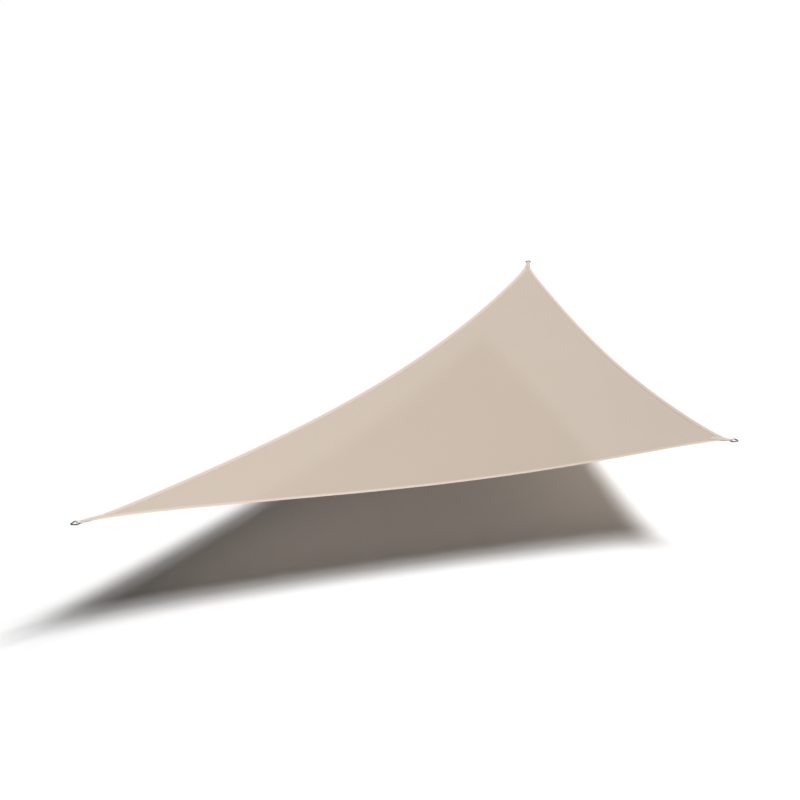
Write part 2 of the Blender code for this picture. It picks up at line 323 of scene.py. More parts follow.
# %% Camera
LENS_PIXELS = 1111.0    # distance from lens to picture, in pixels of the frame
FRAME_PIXELS = 800.0
FRAME_SHIFT = -0.0663
CAMERA_FROM_SQUARE = Vector((-3.4545, -5.8835, 3.2237))
LOOKS_DOWN, TURNED_RIGHT = math.radians(24.09), math.radians(15.30)

camera_data = bpy.data.cameras.new("camera")
camera_data.sensor_width = 36.0
camera_data.lens = LENS_PIXELS / FRAME_PIXELS * camera_data.sensor_width
camera_data.shift_x = FRAME_SHIFT
camera_data.clip_end = 500.0
camera = bpy.data.objects.new("camera", camera_data)
camera.location = place(CORNERS["square"]) + CAMERA_FROM_SQUARE
camera.rotation_euler = (math.pi / 2 - LOOKS_DOWN, 0.0, -TURNED_RIGHT)
scene.collection.objects.link(camera)
scene.camera = camera
print("lens", round(camera_data.lens, 2), "mm")

# %% [markdown]
# ## A small workbench for node trees
#
# Shader trees are easier to read as sums than as boxes. `Bench` adds a node, feeds each input
# with either a plain value or another node's output, and hands back the result.

# %% A bench that adds and joins nodes
class Bench:
    """Adds nodes to one tree and joins them."""

    def __init__(self, tree):
        self.tree = tree

    def feed(self, socket, value):
        """Joins an output to this input, or sets the input to a plain value."""
        if isinstance(value, bpy.types.NodeSocket):
            self.tree.links.new(value, socket)
        else:
            socket.default_value = value

    def node(self, kind, **settings):
        """A new node with these settings."""
        made = self.tree.nodes.new(kind)
        made.location = (170 * len(self.tree.nodes), -40 * (len(self.tree.nodes) % 5))
        for name, value in settings.items():
            setattr(made, name, value)
        return made

    def math(self, operation, *values):
        made = self.node("ShaderNodeMath", operation=operation)
        for socket, value in zip(made.inputs, values):
            self.feed(socket, value)
        return made.outputs[0]

    def split(self, vector):
        made = self.node("ShaderNodeSeparateXYZ")
        self.feed(made.inputs[0], vector)
        return made.outputs

    def wave(self, turns):
        """0 to 1 and back once for each whole number of turns, highest at 0."""
        cosine = self.math("COSINE", self.math("MULTIPLY", turns, 2 * math.pi))
        return self.math("MULTIPLY_ADD", cosine, 0.5, 0.5)

    def step(self, value, low, high, to_low=0.0, to_high=1.0):
        """A smooth step between two levels."""
        made = self.node("ShaderNodeMapRange", interpolation_type="SMOOTHSTEP")
        for name, given in (("Value", value), ("From Min", low), ("From Max", high),
                            ("To Min", to_low), ("To Max", to_high)):
            self.feed(made.inputs[name], given)
        return made.outputs["Result"]

    def noise(self, vector, scale, detail=2.0, roughness=0.5):
        made = self.node("ShaderNodeTexNoise")
        self.feed(made.inputs["Vector"], vector)
        self.feed(made.inputs["Scale"], scale)
        self.feed(made.inputs["Detail"], detail)
        self.feed(made.inputs["Roughness"], roughness)
        return made.outputs["Fac"]

    def blend(self, share, first, second):
        """The first colour where share is 0, the second where it is 1."""
        made = self.node("ShaderNodeMix", data_type="RGBA")
        self.feed(made.inputs["Factor"], share)
        self.feed(made.inputs["A"], first)
        self.feed(made.inputs["B"], second)
        return made.outputs["Result"]

    def bump(self, height, distance):
        """A normal for heights of 0 to 1 that stand for this many metres."""
        made = self.node("ShaderNodeBump")
        made.inputs["Distance"].default_value = distance
        self.feed(made.inputs["Height"], height)
        return made.outputs["Normal"]


# %% A helper that starts a node group
def node_group(kind, name, takes, gives):
    """A new group with these inputs and outputs, and a bench to fill it on."""
    tree = bpy.data.node_groups.new(name, kind)
    for title, socket_kind, value in takes:
        socket = tree.interface.new_socket(title, in_out="INPUT", socket_type=socket_kind)
        if value is not None:
            socket.default_value = value
    for title, socket_kind in gives:
        tree.interface.new_socket(title, in_out="OUTPUT", socket_type=socket_kind)
    inside, outside = tree.nodes.new("NodeGroupInput"), tree.nodes.new("NodeGroupOutput")
    print(name, "takes", [title for title, _, _ in takes])
    return tree, Bench(tree), inside.outputs, outside.inputs


# %% [markdown]
# ## Effects that the finishes are made of
#
# Each effect is a node group with named inputs, built once and placed wherever it is needed.
# *Knit* is the sail cloth: upright chains of loops a few millimetres apart, with a zigzag yarn
# laid between them, and small gaps that the sun comes through. *Webbing weave* is for tape and
# straps: fine ribs across the strip, crossed by lengthwise yarns. *Tone drift* is the slow,
# faint change of shade that sun and dye give any cloth, with a finer one from its fibres. All
# three only put out heights and masks, so each material decides what to do with them.

# %% Effect: knit
knit, b, given, wanted = node_group(
    "ShaderNodeTree", "knit",
    [("Place", "NodeSocketVector", None), ("Wale pitch", "NodeSocketFloat", 0.0034),
     ("Course pitch", "NodeSocketFloat", 0.0026), ("Openness", "NodeSocketFloat", 0.40)],
    [("Height", "NodeSocketFloat"), ("Gaps", "NodeSocketFloat"), ("Yarn", "NodeSocketFloat")])
# chains of loops, one along each wale
x, y, _ = b.split(given["Place"])
wale = b.math("DIVIDE", x, given["Wale pitch"])
course = b.math("DIVIDE", y, given["Course pitch"])
chain = b.wave(wale)
loops = b.wave(b.math("MULTIPLY_ADD", chain, -0.25, course))
# a yarn laid in between them, to and fro
zigzag = b.math("PINGPONG", wale, 0.5)
laid_in = b.wave(b.math("SUBTRACT", course, zigzag))
between = b.math("SUBTRACT", 1.0, chain)
chain_height = b.math("MULTIPLY", chain, b.math("MULTIPLY_ADD", loops, 0.45, 0.55))
laid_height = b.math("MULTIPLY", between, b.math("MULTIPLY", laid_in, 0.35))
b.feed(wanted["Height"], b.math("ADD", chain_height, laid_height))
# the sun comes through where neither lies
thin = b.step(between, 0.62, 0.92)
bare = b.step(b.math("SUBTRACT", 1.0, laid_in), 0.55, 0.95)
b.feed(wanted["Gaps"], b.math("MULTIPLY", b.math("MULTIPLY", thin, bare), given["Openness"]))
# the yarn mask is high on the raised chains and low between them; the cloth paints its hollows darker from
# it, a painted shade
b.feed(wanted["Yarn"], b.math("MULTIPLY_ADD", chain_height, 0.7, b.math("MULTIPLY", laid_in, 0.3)))

# %% Effect: webbing weave
webbing, b, given, wanted = node_group(
    "ShaderNodeTree", "webbing_weave",
    [("Place", "NodeSocketVector", None), ("Rib pitch", "NodeSocketFloat", 0.0016),
     ("Yarn pitch", "NodeSocketFloat", 0.0012)],
    [("Height", "NodeSocketFloat"), ("Shade", "NodeSocketFloat")])
along, across, _ = b.split(given["Place"])
rib = b.math("DIVIDE", along, given["Rib pitch"])
yarn = b.math("DIVIDE", across, given["Yarn pitch"])
# each rib is shifted by half a yarn from the last
row = b.math("MULTIPLY", b.math("FLOOR", rib), 0.5)
crossing = b.wave(b.math("ADD", yarn, row))
ridge = b.wave(b.math("ADD", rib, 0.5))
b.feed(wanted["Height"], b.math("MULTIPLY", ridge, b.math("MULTIPLY_ADD", crossing, 0.5, 0.5)))
b.feed(wanted["Shade"], b.math("MULTIPLY_ADD", ridge, 0.6, b.math("MULTIPLY", crossing, 0.4)))

# %% Effect: tone drift
drift, b, given, wanted = node_group(
    "ShaderNodeTree", "tone_drift",
    [("Place", "NodeSocketVector", None), ("Broad", "NodeSocketFloat", 1.2),
     ("Fine", "NodeSocketFloat", 220.0)],
    [("Broad shade", "NodeSocketFloat"), ("Fibre shade", "NodeSocketFloat")])
b.feed(wanted["Broad shade"], b.noise(given["Place"], given["Broad"], 3.0))
b.feed(wanted["Fibre shade"], b.noise(given["Place"], given["Fine"], 4.0, 0.6))

# %% [markdown]
# ## How every finish starts
#
# Each finish is one Principled shader. What is the same all over a surface, such as the sheen, is
# set on the shader's own socket. What changes over it comes through nodes, and the bench joins
# those.

# %% A helper that starts a material, and one that places an effect in it
def finish_of(name, roughness, specular=0.5):
    """A new material, its Principled shader and a bench, with the plain values set on the shader."""
    made = bpy.data.materials.new(name)
    made.use_nodes = True
    shader = made.node_tree.nodes["Principled BSDF"]
    shader.inputs["Roughness"].default_value = roughness
    shader.inputs["Specular IOR Level"].default_value = specular
    return made, shader, Bench(made.node_tree)


def use(bench, tree, **values):
    """Places a shared effect with this material's own values, written with _ for a space."""
    made = bench.node("ShaderNodeGroup")
    made.node_tree = tree
    for name, value in values.items():
        bench.feed(made.inputs[name.replace("_", " ")], value)
    return made.outputs


# %% [markdown]
# ## The sail cloth's finish
#
# Sand-coloured knitted cloth, dull and slightly open: some sun comes through, and the shadow
# behind it shows faintly. A picture of cloth could be laid on it, but a pattern worked out from
# each point's own place stays sharp at any distance, and the sail lies level enough for plain X
# and Y to carry it. The open gaps are an Alpha below 1, which is far lighter than cutting
# millions of holes.

# %% Finish: sail cloth
SAND_DARK, SAND_PALE = (0.519, 0.430, 0.352, 1.0), (0.595, 0.501, 0.417, 1.0)
SAND_FADED = (0.563, 0.474, 0.395, 1.0)

sail_cloth_finish, shader, b = finish_of("sand_shade_knit", 0.88, 0.25)
spot = b.node("ShaderNodeTexCoord").outputs["Object"]
yarns = use(b, knit, Place=spot, Wale_pitch=0.0034, Course_pitch=0.0026, Openness=0.40)
tones = use(b, drift, Place=spot, Broad=0.9, Fine=260.0)
# the raised yarns come out paler and the hollows between them darker, a painted shade, mixed with the
# fibres' random tone
fibre_tone_and_painted_shade = b.math("MULTIPLY_ADD", tones["Fibre shade"], 0.5, b.math("MULTIPLY", yarns["Yarn"], 0.5))
sand = b.blend(fibre_tone_and_painted_shade, SAND_DARK, SAND_PALE)
faded = b.blend(b.step(tones["Broad shade"], 0.35, 0.65, 0.0, 0.5), sand, SAND_FADED)
b.feed(shader.inputs["Base Color"], faded)
b.feed(shader.inputs["Alpha"], b.math("SUBTRACT", 1.0, yarns["Gaps"]))
b.feed(shader.inputs["Normal"], b.bump(yarns["Height"], 0.0004))
shader.inputs["Sheen Weight"].default_value = 0.05
shader.inputs["Sheen Roughness"].default_value = 0.6
print("cloth finish ready")

# %% [markdown]
# ## The finish of tape and straps
#
# A paler, peachier webbing than the cloth, with a faint sheen. Webbing bends round the rings and
# along the edges, so its weave can't follow the room's axes as the cloth's knit does. It reads the
# strip's own UV map in metres instead. Both strips take one recipe with their own pitches. Along
# the tape's folded edge, a painted highlight makes it a little paler, as if the fold caught the light.

# %% Finish: edge tape and corner straps
TAPE_DARK, TAPE_PALE = (0.622, 0.510, 0.437, 1.0), (0.752, 0.638, 0.560, 1.0)
# the colour of the painted highlight along the tape's fold
TAPE_FOLD_HIGHLIGHT = (0.800, 0.675, 0.590, 1.0)
STRAP_DARK, STRAP_PALE = (0.640, 0.530, 0.455, 1.0), (0.790, 0.680, 0.605, 1.0)
FOLD_HIGHLIGHT_FADE = (0.006, 0.016)    # the painted highlight fades out between these distances from the fold
TAPE_FOLD_AT = 0.0344           # where the fold lies across the tape's UV map


def webbing_finish(name, dark, pale, rib, yarn, depth, fold_at=None):
    """Woven webbing; fold_at is where across the strip a painted highlight makes the fold paler, if it has
    one.
    """
    made, shader, b = finish_of(name, 0.72, 0.35)
    spot = b.node("ShaderNodeUVMap", uv_map="metres").outputs["UV"]
    weave = use(b, webbing, Place=spot, Rib_pitch=rib, Yarn_pitch=yarn)
    tones = use(b, drift, Place=b.node("ShaderNodeTexCoord").outputs["Object"], Broad=2.5, Fine=420.0)
    # the weave's ridges come out paler and its grooves darker, a painted shade, mixed with the fibres'
    # random tone
    fibre_tone_and_painted_shade = b.math("MULTIPLY_ADD", tones["Fibre shade"], 0.45, b.math("MULTIPLY", weave["Shade"], 0.55))
    # the broad shade is the real drift of sun and dye; the rest carries the weave's painted shade
    drift_and_painted_shade = b.math("MULTIPLY_ADD", tones["Broad shade"], 0.3, b.math("MULTIPLY_ADD", fibre_tone_and_painted_shade, 0.8, -0.1))
    colour = b.blend(drift_and_painted_shade, dark, pale)
    # a painted highlight: the fold is painted paler where it would catch the light
    if fold_at:
        off_fold = b.math("ABSOLUTE", b.math("SUBTRACT", b.split(spot)[1], fold_at))
        fold_highlight = b.step(off_fold, *FOLD_HIGHLIGHT_FADE, 1.0, 0.0)
        colour = b.blend(fold_highlight, colour, TAPE_FOLD_HIGHLIGHT)
    b.feed(shader.inputs["Base Color"], colour)
    b.feed(shader.inputs["Roughness"], b.step(weave["Height"], 0.0, 1.0, 0.80, 0.64))
    b.feed(shader.inputs["Normal"], b.bump(weave["Height"], depth))
    shader.inputs["Sheen Weight"].default_value = 0.08
    shader.inputs["Sheen Roughness"].default_value = 0.5
    return made


tape_finish = webbing_finish(
    "peach_edge_tape", TAPE_DARK, TAPE_PALE, rib=0.0013, yarn=0.0011, depth=0.00025, fold_at=TAPE_FOLD_AT)
strap_finish = webbing_finish(
    "peach_strap_webbing", STRAP_DARK, STRAP_PALE, rib=0.0019, yarn=0.0016, depth=0.0004)
print("webbing finishes ready:", tape_finish.name, "and", strap_finish.name)

# %% [markdown]
# ## The finishes of thread and steel
#
# The thread is a paler strand of the same peach, and a fine noise stands for its twist. The rings
# are drawn steel bar, polished. A metal shows what it mirrors, so its own colour matters less than
# how rough it is: scuffs make it duller in places, and the dim studio keeps it fairly dark.

# %% Finish: sewing thread
THREAD_DARK, THREAD_PALE = (0.66, 0.56, 0.49, 1.0), (0.84, 0.75, 0.68, 1.0)

thread_finish, shader, b = finish_of("pale_thread", 0.55, 0.45)
spot = b.node("ShaderNodeTexCoord").outputs["Object"]
twist = b.noise(spot, 1800.0, 2.0)
b.feed(shader.inputs["Base Color"], b.blend(twist, THREAD_DARK, THREAD_PALE))
b.feed(shader.inputs["Normal"], b.bump(twist, 0.0001))
print("thread finish ready")

# %% Finish: steel rings
STEEL, STEEL_STAINED = (0.40, 0.40, 0.42, 1.0), (0.32, 0.32, 0.34, 1.0)

steel_finish, shader, b = finish_of("polished_dark_steel", 0.22)
shader.inputs["Metallic"].default_value = 1.0
spot = b.node("ShaderNodeTexCoord").outputs["Object"]
scuffs = b.noise(spot, 900.0, 5.0, 0.65)
stains = b.noise(spot, 60.0, 3.0)
b.feed(shader.inputs["Base Color"], b.blend(b.step(stains, 0.35, 0.7), STEEL, STEEL_STAINED))
b.feed(shader.inputs["Roughness"], b.step(scuffs, 0.3, 0.75, 0.14, 0.34))
b.feed(shader.inputs["Normal"], b.bump(scuffs, 0.00004))
print("steel finish ready")

# %% [markdown]
# ## Meshes in code
#
# The cloth is a lattice of cells, and tape and straps are lofts: rows of points joined by quads.
# Modifiers on simple shapes could come close, but points worked out one by one lie exactly on the
# hanging surface. The lofts carry a UV map called `metres`, in real lengths along and across the
# strip, so that a weave keeps its scale and follows the piece.

# %% A helper that makes a piece of points and faces
def mesh_piece(name, points, faces, finish, corner_uvs=None, smooth_angle=40.0):
    """A mesh object in its finish, facing outwards, and smooth where it bends less than the angle."""
    mesh = bpy.data.meshes.new(name)
    mesh.from_pydata([tuple(p) for p in points], [], faces)
    if corner_uvs:
        layer = mesh.uv_layers.new(name="metres")
        for slot_uv, uv in zip(layer.data, corner_uvs):
            slot_uv.uv = uv
    shape = bmesh.new()
    shape.from_mesh(mesh)
    bmesh.ops.recalc_face_normals(shape, faces=shape.faces)
    shape.to_mesh(mesh)
    shape.free()
    mesh.shade_smooth()
    mesh.set_sharp_from_angle(angle=math.radians(smooth_angle))
    mesh.materials.append(finish)
    piece = bpy.data.objects.new(name, mesh)
    scene.collection.objects.link(piece)
    print(name, len(mesh.vertices), "points,", sum(len(f.vertices) - 2 for f in mesh.polygons), "triangles")
    return piece


# %% A loft between rows of points
def loft(name, rows, along, around, finish, smooth_angle=40.0):
    """Quads between rows, each a closed ring whose second half runs back along its first.

    along[r][i] and around[i] are lengths for the UVs.
    """
    size = len(rows[0])
    points = [point for row in rows for point in row]
    faces, uvs = [], []
    for r in range(len(rows) - 1):
        for i in range(size):
            j = (i + 1) % size
            faces.append((r * size + i, r * size + j, (r + 1) * size + j, (r + 1) * size + i))
            uvs += [(along[r][i], around[i]), (along[r][j], around[i + 1]),
                    (along[r + 1][j], around[i + 1]), (along[r + 1][i], around[i])]
    for r, turned in ((0, True), (len(rows) - 1, False)):
        for i in range(size // 2 - 1):
            j = size - 1 - i
            order = (j, j - 1, i + 1, i) if turned else (i, i + 1, j - 1, j)
            faces.append(tuple(r * size + k for k in order))
            uvs += [(along[r][k], around[k]) for k in order]
    return mesh_piece(name, points, faces, finish, uvs, smooth_angle)


def lengths_round(outline):
    """Running length round a closed outline, with the whole length last."""
    total, lengths = 0.0, [0.0]
    for here, there in zip(outline, outline[1:] + outline[:1]):
        total += (Vector(there) - Vector(here)).length
        lengths.append(total)
    return lengths


# %% [markdown]
# ## The cloth
#
# One sheet, as on the real sail. A filled outline would do, but its long thin triangles would
# shade badly, so the sheet is a triangular lattice. Each lattice point is a weighted mean of the
# three corners, pushed in by the curve of each edge it is near, so the rows of cells bend with the
# edges. The sheet is a single layer: the gaps in the knit can then let exactly as much light
# through as the cloth does. Its border ends inside the fold of the tape.

# %% Where the cloth ends along each edge
def cloth_border(edge):
    """A function of t that runs along the cloth's border from one of its tips to the next."""
    start, end = EDGES[edge][:2]
    first = mitre_t(edge, start, CLOTH_SET_IN, 0.0, flared=False)
    last = mitre_t(edge, end, CLOTH_SET_IN, 0.0, flared=False)
    return lambda t: edge_point(edge, first + (last - first) * t, CLOTH_SET_IN, flared=False)


# %% The cloth's lattice in plan
CLOTH_CELLS = 150


def cloth_plan():
    """Plan points of the lattice by their row and place in it."""
    borders = {edge: cloth_border(edge) for edge in EDGES}
    tips = {}
    for edge, border in borders.items():
        tips[EDGES[edge][0]] = border(0.0)
        tips[EDGES[edge][1]] = border(1.0)
    plan = {}
    for i in range(CLOTH_CELLS + 1):
        for j in range(CLOTH_CELLS + 1 - i):
            share = {"left": i / CLOTH_CELLS, "far": j / CLOTH_CELLS}
            share["square"] = 1.0 - share["left"] - share["far"]
            point = Vector((0.0, 0.0))
            for corner, tip in tips.items():
                point += tip * share[corner]
            for edge, border in borders.items():
                start, end = EDGES[edge][:2]
                both = share[start] + share[end]
                if both > 0.0:
                    t = min(1.0, max(0.0, share[end] / both))
                    straight = tips[start].lerp(tips[end], t)
                    point += (border(t) - straight) * both ** 2
            plan[i, j] = point
    return plan


plan = cloth_plan()
print("the lattice has", len(plan), "points")

# %% Cloth
number = {key: k for k, key in enumerate(plan)}
cells = []
for i in range(CLOTH_CELLS):
    for j in range(CLOTH_CELLS - i):
        cells.append((number[i, j], number[i, j + 1], number[i + 1, j]))
        if i + j < CLOTH_CELLS - 1:
            cells.append((number[i + 1, j], number[i, j + 1], number[i + 1, j + 1]))
sail = mesh_piece("sail_fabric", [place(p) for p in plan.values()], cells, sail_cloth_finish)
if sum(face.normal.z for face in sail.data.polygons) < 0:
    sail.data.flip_normals()

# %% [markdown]
# ## The edge tape
#
# A strip of webbing folded over the cloth's edge and sewn through. A curve with a bevel profile
# could sweep it, but its ends would be cut square, and these are mitred on the corner's middle
# line, under the straps. So it is lofted: the section is one closed outline with a rounded nose,
# a slot for the cloth, and a shallow valley under each row of stitches, where the thread pulls
# the layers together. Between them the strip stays a little puffed. The webbing lies closer to
# the cloth than its plain solid does.

# %% Section of the folded tape, and the seam lines on it
SEAM_DEPTHS = (0.0060, 0.0292)
SEAM_VALLEY, SEAM_VALLEY_REACH = 0.0002, 0.0012
TAPE_PITCH = 0.016
TAPE_PLAIN_END = 0.18
PLY = 0.0006            # one layer of the webbing
FOLD_HALF = 0.0002      # half the slot that the cloth lies in
FOLD_WIDTH = TAPE_WIDTH - 0.0022
NOSE_DEPTH = 0.0020
CROWN_DEPTH, CROWN_HEIGHT = 0.0100, 0.0012
RAW_EDGE = 0.4          # share of a layer's thickness left at its woven edge
FLAT_NEAR_CORNER, FULL_CROWN = 0.09, 0.19


def tape_height(depth, crown=1.0):
    """Height of the tape's upper face at this depth; crown is 0 where a strap presses it flat."""
    flat = FOLD_HALF + PLY
    nose = min(1.0, depth / NOSE_DEPTH)
    rim = math.sqrt(max(0.0, 1 - (1 - nose) ** 2))
    fall = (depth - CROWN_DEPTH) / (FOLD_WIDTH - CROWN_DEPTH)
    hump = 1 - fall ** 2 if fall < 0 else 0.5 * (1 - fall) + 0.5 * math.cos(fall * math.pi / 2) ** 2
    height = rim * (flat + crown * (CROWN_HEIGHT - flat) * max(0.0, hump))
    for seam in SEAM_DEPTHS:
        height -= crown * SEAM_VALLEY * math.exp(-((depth - seam) / SEAM_VALLEY_REACH) ** 2)
    return height


def crown_at(distance):
    """How far the tape is puffed up, by its distance from the nearer corner point."""
    return smooth_step((distance - FLAT_NEAR_CORNER) / (FULL_CROWN - FLAT_NEAR_CORNER))


# depths of the section's points, closest together on the nose and at the seams
TAPE_OUTSIDE = [NOSE_DEPTH * (1 - math.cos(math.pi / 2 * k / 6)) for k in range(7)]
TAPE_OUTSIDE += [0.0032, 0.0044, 0.0052, 0.0060, 0.0068, 0.0082, 0.010, 0.013, 0.017, 0.021,
                 0.025, 0.0275, 0.0285, 0.0292, 0.0299, 0.0309, 0.0322, 0.0332]


def tape_section(crown):
    """The folded tape as pairs of depth and height, its inner line running back along its outer."""
    upper = [(d, tape_height(d, crown)) for d in TAPE_OUTSIDE]
    slot = [(max(d, NOSE_DEPTH / 2), min(FOLD_HALF, h)) for d, h in upper] + [(FOLD_WIDTH, FOLD_HALF)]
    upper.append((FOLD_WIDTH, FOLD_HALF + PLY * RAW_EDGE))
    outer = upper[::-1] + [(d, -h) for d, h in upper[1:]]
    inner = slot[::-1] + [(d, -h) for d, h in slot[1:]]
    return outer + inner[::-1]


print("over its crown the tape is", round(2000 * tape_height(CROWN_DEPTH), 2), "mm thick")

# %% Tape along each edge
EASE_CELLS = 14
PUCKERS = ((0.05, 0.021, 0.0), (0.04, 0.047, 90.0))     # share of height, length, turn with depth


def make_tape(edge):
    """One length of folded tape; its rows turn from each mitre to square over the end stretches."""
    start, end = EDGES[edge][:2]
    long = edge_length(edge)
    section = tape_section(1.0)
    plain = TAPE_PLAIN_END / long
    cells = round(long * (1 - 2 * plain) / TAPE_PITCH)
    begins = [mitre_t(edge, start, depth, GAP / 2) for depth, _ in section]
    finishes = [mitre_t(edge, end, depth, GAP / 2) for depth, _ in section]
    ease = EASE_CELLS
    stations = [[t + (plain - t) * k / ease for t in begins] for k in range(ease)]
    stations += [[plain + (1 - 2 * plain) * k / cells] * len(section) for k in range(cells + 1)]
    stations += [[1 - plain + (t - 1 + plain) * k / ease for t in finishes] for k in range(1, ease + 1)]
    rows = []
    for row in stations:
        middle = sum(row) / len(row)
        crown = crown_at(min(middle, 1 - middle) * long)
        points = []
        for t, (depth, height) in zip(row, tape_section(crown)):
            pucker = sum(a * math.sin(t * long / size + depth * turn) for a, size, turn in PUCKERS)
            points.append(place(edge_point(edge, t, depth), height * (1 + crown * pucker)))
        rows.append(points)
    along = [[t * long for t in row] for row in stations]
    return loft("tape_" + edge, rows, along, lengths_round(section), tape_finish)


tapes = {edge: make_tape(edge) for edge in EDGES}

# %% [markdown]
# ## The corner straps
#
# One length of webbing for each corner, folded round the ring's base bar, its two plies sewn
# over the tape ends on both faces of the sail. A flat plane with Solidify could be bent into it,
# but its side view is a simple line, so it is lofted across the width from that line. The line is
# a hairpin: the plies lie on the tape, come together between tape and ring, and open again round
# the bar. The strip's two long edges are rounded off, as a woven selvedge is.

# %% Side view of the folded strap
STRAP_PLY = 0.0010      # one layer of the webbing, a little thinner than its solid


def strap_line(bar_offset, ease_steps=12, loop_steps=20, flat_steps=10, nip_steps=4):
    """Middle line of the strap, as distance in from the corner point and height."""
    over_tape = FOLD_HALF + PLY + GAP / 2 + STRAP_PLY / 2
    nipped = GAP / 2 + STRAP_PLY / 2
    loop_radius = RING_BAR / 2 + LOOP_CLEARANCE + STRAP_PLY / 2

    def ease(from_s, to_s, from_z, to_z):
        line = []
        for k in range(1, ease_steps + 1):
            u = k / ease_steps
            line.append((from_s + (to_s - from_s) * u, from_z + (to_z - from_z) * smooth_step(u)))
        return line

    flat = STRAP_REACH + STRAP_TAPE_END
    upper = [(STRAP_REACH - flat * k / flat_steps, over_tape) for k in range(flat_steps + 1)]
    upper += ease(-STRAP_TAPE_END, -STRAP_NIP_INNER, over_tape, nipped)
    nip = STRAP_NIP_INNER - STRAP_NIP_OUTER
    upper += [(-STRAP_NIP_INNER + nip * k / nip_steps, nipped) for k in range(1, nip_steps + 1)]
    upper += ease(-STRAP_NIP_OUTER, -bar_offset, nipped, loop_radius)
    loop = []
    for k in range(1, loop_steps):
        turn = math.pi / 2 + math.pi * k / loop_steps
        loop.append((-bar_offset + loop_radius * math.cos(turn), loop_radius * math.sin(turn)))
    lower = [(s, -z) for s, z in reversed(upper)]
    return upper + loop + lower


side_view = strap_line(RING_PLACES["square"][0])
print("a strap takes", round(1000 * sum(map(math.dist, side_view, side_view[1:]))), "mm of webbing")

# %% How wide a strap is, and points on it
def half_width(corner, s):
    """Half the strap's width at a distance in from the corner point."""
    spread = smooth_step((s + STRAP_NIP_OUTER) / (STRAP_SPREAD_END + STRAP_NIP_OUTER))
    return STRAP_WIDTH / 2 + RING_PLACES[corner][2] * spread


def strap_point(corner, s, q, height):
    """A point s in from the corner point and, at the ring, q across from the strap's middle."""
    inward, across = corner_axes(corner)
    aside = RING_PLACES[corner][1] + q * half_width(corner, s) / (STRAP_WIDTH / 2)
    return place(CORNERS[corner] + inward * s + across * aside, height)


for corner in CORNERS:
    print(corner, "strap widens to", round(2000 * half_width(corner, STRAP_REACH)), "mm over the tapes")

# %% Straps
SELVEDGE = ((0.0, 0.35), (0.0004, 0.75), (0.0011, 1.0))     # distance from the edge, share of thickness
BETWEEN = (-0.010, -0.005, 0.0, 0.005, 0.010)              # places across it between the selvedges


def make_strap(corner):
    """One folded strap, lofted across its width."""
    line = [Vector(p) for p in strap_line(RING_PLACES[corner][0])]
    selvedge = [(q - STRAP_WIDTH / 2, share) for q, share in SELVEDGE]
    widths = selvedge + [(q, 1.0) for q in BETWEEN]
    widths += [(-q, share) for q, share in reversed(selvedge)]
    outline = []
    for k, here in enumerate(line):
        before, after = line[max(k - 1, 0)], line[min(k + 1, len(line) - 1)]
        run = (after - before).normalized()
        outline.append((here, Vector((-run.y, run.x)) * STRAP_PLY / 2))
    rows, along = [], []
    run_lengths = [0.0]
    for here, there in zip(line, line[1:]):
        run_lengths.append(run_lengths[-1] + (there - here).length)
    for q, share in widths:
        ring = [p + side * share for p, side in outline] + [p - side * share for p, side in outline[::-1]]
        rows.append([strap_point(corner, p.x, q, p.y) for p in ring])
        along.append([q] * len(ring))
    around = run_lengths + run_lengths[::-1] + [0.0]
    piece = loft("strap_" + corner, rows, along, around, strap_finish, 50.0)
    # the rows run along the strap here, so its two lengths change places
    for uv in piece.data.uv_layers["metres"].data:
        uv.uv = (uv.uv[1], uv.uv[0])
    return piece


straps = {corner: make_strap(corner) for corner in CORNERS}

# %% [markdown]
# ## The rings
#
# Steel bar bent to a triangle with rounded corners and welded. A curve with a bevel would do too,
# but a tree of Geometry Nodes keeps the bar's thickness and its sides as named inputs, and one
# tree serves all three rings. The path goes in as a loop of edges, and Curve to Mesh sweeps a
# circle along it. A `swell` number on each point thickens the bar a little at the weld.

# %% Helpers that start and end a geometry tree
def geometry_tree(name, takes):
    """A Geometry Nodes tree that takes a path and these inputs and gives a mesh."""
    path_too = [("Path", "NodeSocketGeometry", None), *takes]
    return node_group("GeometryNodeTree", name, path_too, [("Mesh", "NodeSocketGeometry")])


def end_tree(b, shape, finish, mesh):
    """Ends a tree: instances become plain mesh, shaded smooth and in the given finish."""
    realize = b.node("GeometryNodeRealizeInstances")
    b.feed(realize.inputs["Geometry"], shape)
    smooth = b.node("GeometryNodeSetShadeSmooth")
    b.feed(smooth.inputs["Geometry"], realize.outputs[0])
    paint = b.node("GeometryNodeSetMaterial")
    b.feed(paint.inputs["Geometry"], smooth.outputs[0])
    b.feed(paint.inputs["Material"], finish)
    b.feed(mesh, paint.outputs[0])


# %% A node tree that sweeps a round bar along a loop
round_bar, b, given, wanted = geometry_tree(
    "bent_round_bar",
    [("Bar diameter", "NodeSocketFloat", 0.008), ("Sides", "NodeSocketInt", 20),
     ("Finish", "NodeSocketMaterial", None)])
path = b.node("GeometryNodeMeshToCurve")
b.feed(path.inputs["Mesh"], given["Path"])
swell = b.node("GeometryNodeInputNamedAttribute", data_type="FLOAT")
swell.inputs["Name"].default_value = "swell"
circle = b.node("GeometryNodeCurvePrimitiveCircle")
b.feed(circle.inputs["Resolution"], given["Sides"])
b.feed(circle.inputs["Radius"], b.math("MULTIPLY", given["Bar diameter"], 0.5))
sweep = b.node("GeometryNodeCurveToMesh")
b.feed(sweep.inputs["Curve"], path.outputs[0])
b.feed(sweep.inputs["Profile Curve"], circle.outputs[0])
b.feed(sweep.inputs["Scale"], b.math("ADD", swell.outputs["Attribute"], 1.0))
end_tree(b, sweep.outputs[0], given["Finish"], wanted["Mesh"])
print("tree", round_bar.name, "has", len(round_bar.nodes), "nodes")

